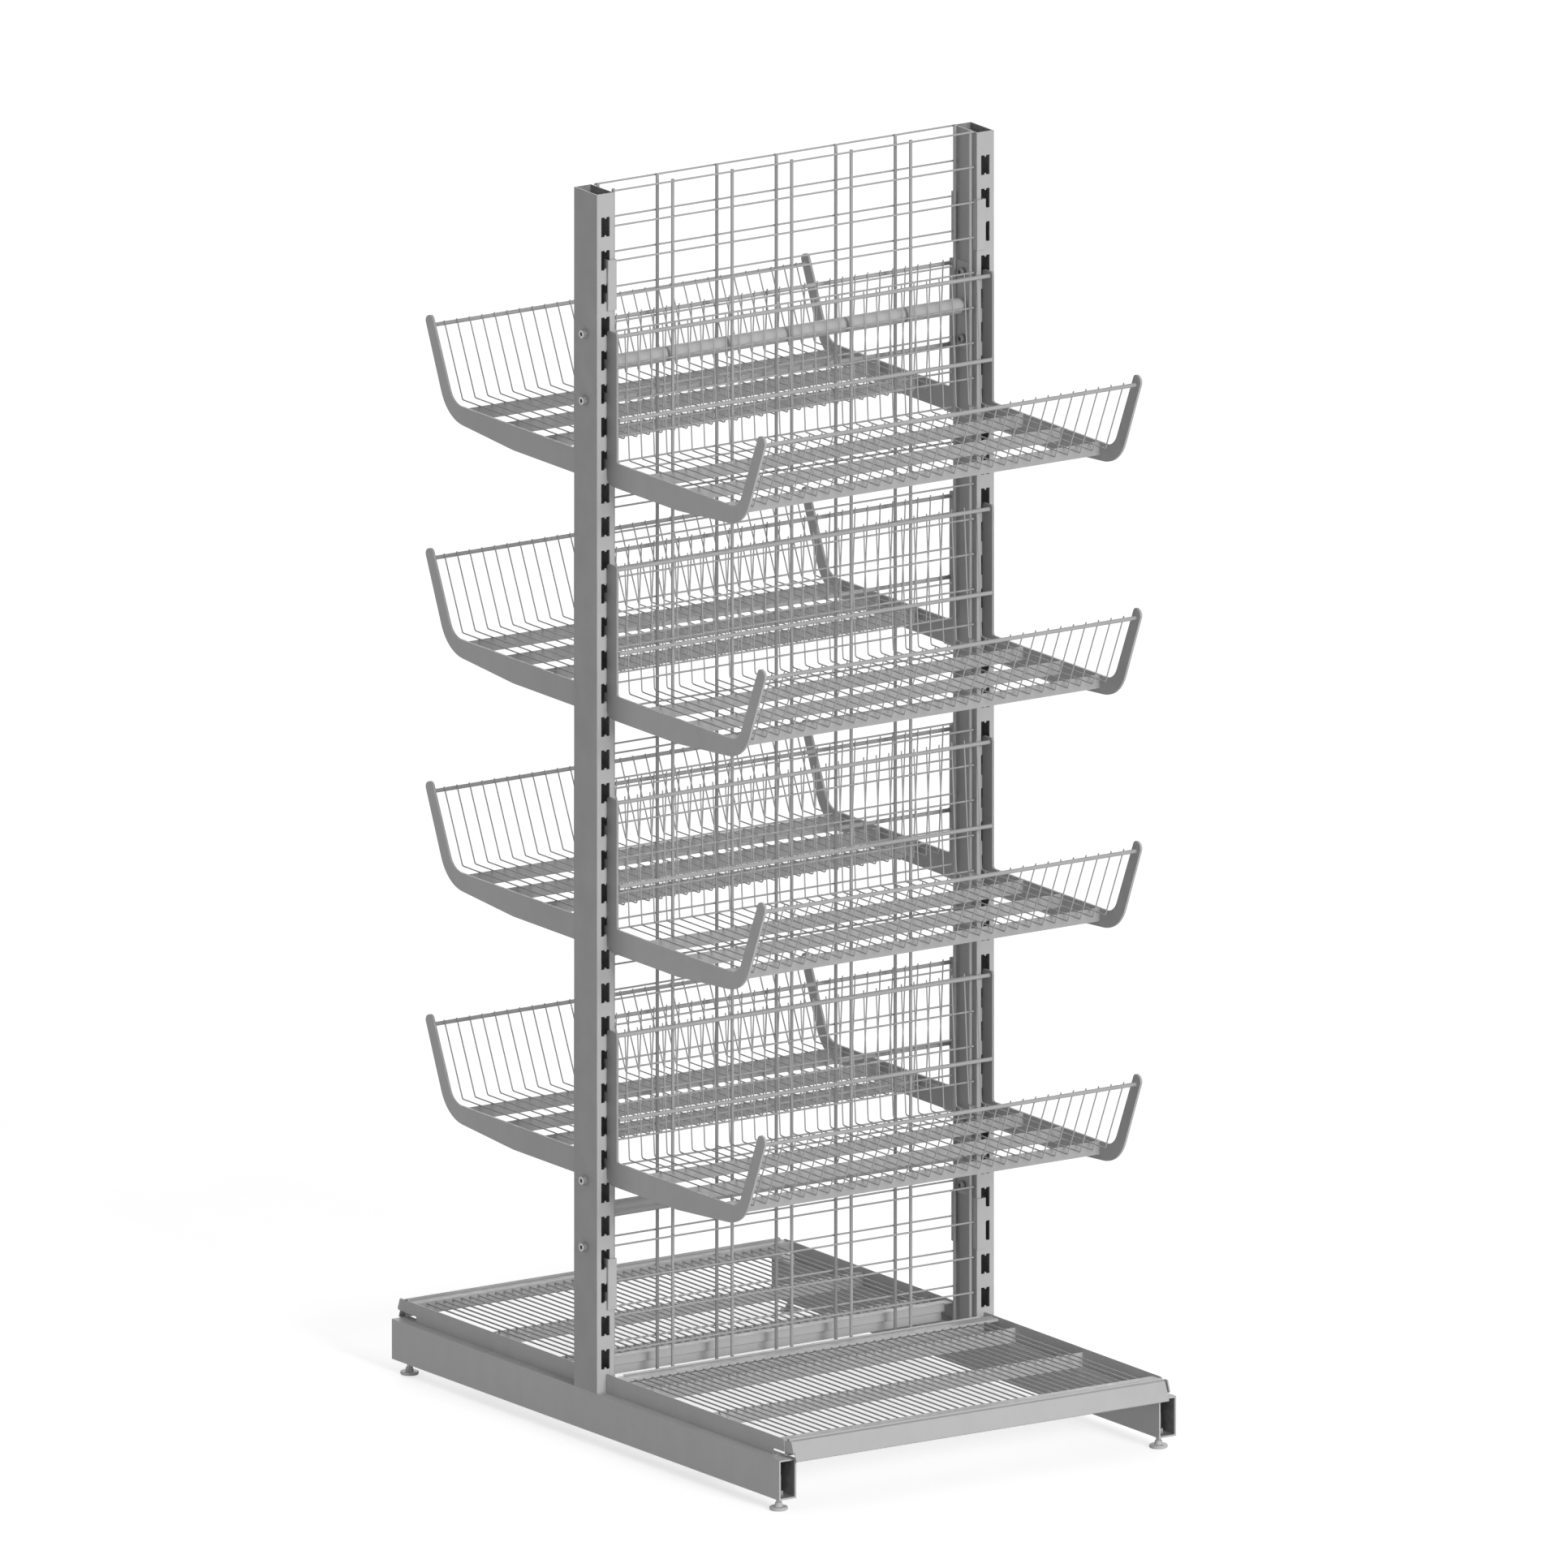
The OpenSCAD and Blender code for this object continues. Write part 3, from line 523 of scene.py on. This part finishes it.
class Shape:
    """Vertices and faces gathered from several closed shells."""

    def __init__(self):
        self.verts = []
        self.faces = []

    def add(self, verts, faces):
        base = len(self.verts)
        self.verts.extend(verts)
        self.faces.extend(tuple(base + i for i in face) for face in faces)

    def rings(self, rings, place, loop=False):
        """A skin over rings of points: closed with fans at both ends, or joined into a loop."""
        n = len(rings[0])
        verts = [place @ Vector(p) for ring in rings for p in ring]
        pairs = [(k, k + 1) for k in range(len(rings) - 1)]
        if loop:
            pairs.append((len(rings) - 1, 0))
        faces = []
        for low, high in pairs:
            for i in range(n):
                j = (i + 1) % n
                faces.append((low * n + i, low * n + j, high * n + j, high * n + i))
        if not loop:
            for start in (0, (len(rings) - 1) * n):
                centre = len(verts)
                verts.append(sum((verts[start + i] for i in range(n)), Vector()) / n)
                faces.extend((start + i, start + (i + 1) % n, centre) for i in range(n))
        self.add(verts, faces)

    def bead(self, centre, size):
        """A weld bead: a small ellipsoid with the half sizes given, a little uneven."""
        k = rng.uniform(*BEAD_UNEVEN)
        verts, faces = BEAD
        self.add([Vector(c + s * k * v for c, s, v in zip(centre, size, b)) for b in verts], faces)


def unit_bead():
    bm = bmesh.new()
    bmesh.ops.create_icosphere(bm, subdivisions=1, radius=1)
    verts = [v.co.copy() for v in bm.verts]
    faces = [tuple(v.index for v in f.verts) for f in bm.faces]
    bm.free()
    return verts, faces


BEAD = unit_bead()


def ring_at(z, radius, segments):
    """A ring round Z; radius is a number or a function of the angle."""
    points = []
    for i in range(segments):
        a = 2 * math.pi * i / segments
        r = radius(a) if callable(radius) else radius
        points.append((r * math.cos(a), r * math.sin(a), z))
    return points


def hexagon(across_flats, limit=1.0):
    """Radius of a hexagon as a function of the angle, no larger than limit."""
    def radius(a):
        return min(limit, across_flats / 2 / math.cos((a % (math.pi / 3)) - math.pi / 6))
    return radius


def thread(major, z):
    """Radius of a screw thread at height z as a function of the angle."""
    def radius(a):
        phase = (z / THREAD_PITCH - a / (2 * math.pi)) % 1.0
        return major - THREAD_DEPTH * max(0.0, 1.0 - THREAD_FLANK * abs(phase - 0.5))
    return radius


def thread_rings(z0, z1, major):
    """Rings of a thread from z0 up to its chamfered end at z1."""
    step = THREAD_PITCH / RINGS_PER_PITCH
    count = int((z1 - z0 - 1 * MM) / step)
    rings = []
    for i in range(count):
        z = z0 + i * step
        rings.append(ring_at(z, thread(major, z), THREAD_SEGMENTS))
    rings.append(ring_at(z1 - 0.8 * MM, major - THREAD_DEPTH, THREAD_SEGMENTS))
    rings.append(ring_at(z1, major - 1.1 * MM, THREAD_SEGMENTS))
    return rings


def islands(node):
    """Boxes (low, high) of the separate solids of a CAD node."""
    mesh = NODES[node].data
    parent = list(range(len(mesh.vertices)))

    def root(i):
        while parent[i] != i:
            parent[i] = parent[parent[i]]
            i = parent[i]
        return i

    seen = {}
    for v in mesh.vertices:
        key = tuple(round(c, 6) for c in v.co)
        parent[v.index] = seen.setdefault(key, v.index)
    for e in mesh.edges:
        a, b = (root(i) for i in e.vertices)
        parent[a] = b
    boxes = {}
    for v in mesh.vertices:
        r = root(v.index)
        low, high = boxes.setdefault(r, (v.co.copy(), v.co.copy()))
        boxes[r] = (Vector(map(min, low, v.co)), Vector(map(max, high, v.co)))
    return sorted(boxes.values(), key=lambda b: tuple(round(c, 4) for c in b[0]))


def middle(box):
    return (box[0] + box[1]) / 2


# Fasteners and feet

def make_screws():
    """Socket head cap screws with a knurled head, on the boxes of the CAD screws."""
    def rim(a):
        return HEAD_R - (KNURL_DEPTH if round(a / (2 * math.pi) * KNURL) % 2 else 0)

    # Height and radius, from the bottom of the socket over the head to the root of the shank
    head = (
        (SOCKET_DEPTH, hexagon(SOCKET_AF)),
        (0.4 * MM, hexagon(SOCKET_AF)),
        (0, hexagon(SOCKET_AF + 0.7 * MM, 3.6 * MM)),
        (0, HEAD_R - 0.9 * MM),
        (0.2 * MM, HEAD_R - 0.4 * MM),
        (0.9 * MM, rim),
        (HEAD_H - 0.5 * MM, rim),
        (HEAD_H, HEAD_R - 0.5 * MM),
        (HEAD_H, SCREW_R - 0.1 * MM),
    )
    shape = Shape()
    for box in islands("cross_tube_screws"):
        place = Matrix.Translation((box[0].x, middle(box).y, middle(box).z)) @ ALONG_X
        length = box[1].x - box[0].x
        shape.rings([ring_at(z, radius, KNURL) for z, radius in head], place)
        shape.rings(thread_rings(HEAD_H - 0.5 * MM, length, SCREW_R), place)
    return shape


def make_nuts():
    """Hexagon nuts with chamfered corners and bore, on the boxes of the CAD nuts."""
    shape = Shape()
    corner = NUT_AF / 2 / math.cos(math.pi / 6)
    for box in islands("cross_tube_nuts"):
        place = Matrix.Translation((box[0].x, middle(box).y, middle(box).z)) @ ALONG_X
        height = box[1].x - box[0].x
        profile = []
        for i in range(NUT_STEPS + 1):
            z = height * i / NUT_STEPS
            chamfer = NUT_FACE_R + NUT_CHAMFER_SLOPE * min(z, height - z)
            profile.append((z, hexagon(NUT_AF, min(corner, chamfer))))
        profile += [
            (height, BORE_MOUTH_R),
            (height - 0.5 * MM, BORE_R),
            (0.5 * MM, BORE_R),
            (0, BORE_MOUTH_R),
        ]
        shape.rings([ring_at(z, radius, NUT_SEGMENTS) for z, radius in profile], place, loop=True)
    return shape


def dress_fasteners():
    """Screws, nuts and foot stems with real threads and sockets, in place of the plain CAD ones."""
    piece = add_piece("socket_screws", make_screws(), ROOT_BODY, SCREWS)
    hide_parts("cross_tube_screws")
    piece = add_piece("hexagon_nuts", make_nuts(), ROOT_BODY, ZINC)
    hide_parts("cross_tube_nuts")
    for corner in ("front_left", "front_right", "rear_left", "rear_right"):
        low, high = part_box(corner + "_foot_stem")
        shape = Shape()
        place = Matrix.Translation(((low.x + high.x) / 2, (low.y + high.y) / 2, low.z))
        shape.rings(thread_rings(0, high.z - low.z, (high.x - low.x) / 2), place)
        piece = add_piece(corner + "_threaded_stem", shape, corner + "_foot", ZINC)
        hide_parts(corner + "_foot_stem")


# Welds

def ring_of_beads(shape, centre, radius, size, count):
    """Weld beads round a rod or tube that runs along X and ends at centre."""
    for i in range(count):
        a = 2 * math.pi * (i + rng.uniform(-0.1, 0.1)) / count
        shape.bead(centre + Vector((0, math.cos(a), math.sin(a))) * radius, size)


def weld_strip(shape, low, high, wires):
    """Beads where a basket's wires cross an upright strip, and up its ends on the cheeks."""
    y = (low.y + high.y) / 2
    for x in wires:
        shape.bead((x, y, high.z), STRIP_BEAD)
    for x in (low.x + 0.4 * MM, high.x - 0.4 * MM):
        for k in range(STRIP_END_ROWS):
            z = low.z + (high.z - low.z) * (k + 0.5) / STRIP_END_ROWS
            for side_y in (low.y, high.y):
                shape.bead((x, side_y, z), STRIP_END_BEAD)


def weld_rod(shape, low, high, wires):
    """Beads where a basket's wires cross a rod, and round its ends on the cheeks."""
    y, z = (low.y + high.y) / 2, (low.z + high.z) / 2
    out = 1 if y > 0 else -1
    lean = BACK_LEAN if abs(y) < BACK_ROD_LIMIT else FRONT_LEAN
    radius = (high.z - low.z) / 2
    contact = (y - out * radius * math.cos(lean), z + radius * math.sin(lean))
    for x in wires:
        shape.bead((x, *contact), ROD_BEAD)
    for x, inward in ((low.x, 1), (high.x, -1)):
        end = Vector((x + inward * 0.5 * MM, y, z))
        ring_of_beads(shape, end, ROD_END_RING_R, ROD_END_BEAD, ROD_END_BEADS)


def weld_basket(body):
    wires = [middle(b).x for b in islands(body + "_wires")]
    shape = Shape()
    for low, high in islands(body + "_rails"):
        is_strip = high.z - low.z > high.y - low.y + 1 * MM
        weld = weld_strip if is_strip else weld_rod
        weld(shape, low, high, wires)
    add_piece(body + "_welds", shape, body, PAINT_WIRE)


def weld_mesh(side):
    """Beads where the horizontal wires of a back panel cross its rods."""
    body = side + "_back_panel"
    rods = []
    wires = []
    for low, high in islands(side + "_mesh_panel"):
        if high.z - low.z > high.x - low.x:
            rods.append(((low.x + high.x) / 2, high.y if side == "rear" else low.y))
        else:
            wires.append((low.z + high.z) / 2)
    shape = Shape()
    for x, y in rods:
        for z in wires:
            shape.bead((x, y, z), MESH_BEAD)
    add_piece(body + "_welds", shape, body, PAINT_WIRE)


def weld_shelf(side):
    """Beads at the ends of a base shelf's wires and where they lie on its strips."""
    body = side + "_base_shelf"
    sign = 1 if side == "rear" else -1
    shape = Shape()
    for low, high in islands(body + "_wires"):
        x, z = (low.x + high.x) / 2, (low.z + high.z) / 2
        for y in (low.y + 0.3 * MM, high.y - 0.3 * MM):
            shape.bead((x, y, z - 0.2 * MM), SHELF_END_BEAD)
        for u in SHELF_STRIPS:
            shape.bead((x, sign * u, low.z), SHELF_STRIP_BEAD)
    add_piece(body + "_welds", shape, body, PAINT_WIRE)


def weld_posts():
    """Rows of beads at the uprights' feet and rings of them round the ends of the cross tubes."""
    shape = Shape()
    for post in ("left_upright", "right_upright"):
        low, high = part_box(post)
        out = 1 if low.x > 0 else -1
        for y in (low.y - 0.4 * MM, high.y + 0.4 * MM):
            for k in range(POST_ROW_BEADS):
                x = out * (POST_ROW_START + POST_ROW_STEP * k) * MM
                shape.bead((x, y, low.z + 0.4 * MM), POST_BEAD)
    for tube in ("upper_cross_tube", "lower_cross_tube"):
        low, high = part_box(tube)
        centre_z = (low.z + high.z) / 2
        for x, inward in ((low.x + TUBE_END_INSET, 1), (high.x - TUBE_END_INSET, -1)):
            end = Vector((x + inward * 0.6 * MM, 0, centre_z))
            ring_of_beads(shape, end, TUBE_RING_R, TUBE_BEAD, TUBE_BEADS)
    add_piece("frame_welds", shape, ROOT_BODY, PAINT_SHEET)


bpy.context.scene.view_settings.view_transform = "Standard"
make_camera()
make_world()
for sun in SUNS:
    make_sun(*sun)
make_floor()

PAINT_SHEET = paint("powder_coat_sheet", SHEET_TONES, SHEET_EDGE)
PAINT_WIRE = paint("powder_coat_wire", WIRE_TONES, None)
PAINT_UPRIGHT = paint(
    "powder_coat_upright", SHEET_TONES, SHEET_EDGE, inside=upright_inside, shaded_faces=upright_sides
)
PAINT_BEAM = paint(
    "powder_coat_beam", BEAM_TONES, SHEET_EDGE, inside=beam_inside, shaded_faces=beam_top
)
PAINT_HOOK = paint("powder_coat_hook", SHEET_TONES, SHEET_EDGE, inside=upright_inside)
PAINT_CHEEK = paint(
    "powder_coat_cheek", SHEET_TONES, SHEET_EDGE,
    inside=upright_inside, shaded_faces=cheek_inner, shaded_root=cheek_root,
)
ZINC = zinc("zinc_plating")
SCREWS = screw_steel("screw_steel")
NYLON = nylon("moulded_nylon")

dress_frame()
dress_fasteners()
weld_posts()
for side in ("front", "rear"):
    weld_mesh(side)
    weld_shelf(side)
    for level in range(1, 5):
        weld_basket(f"{side}_basket_{level}")
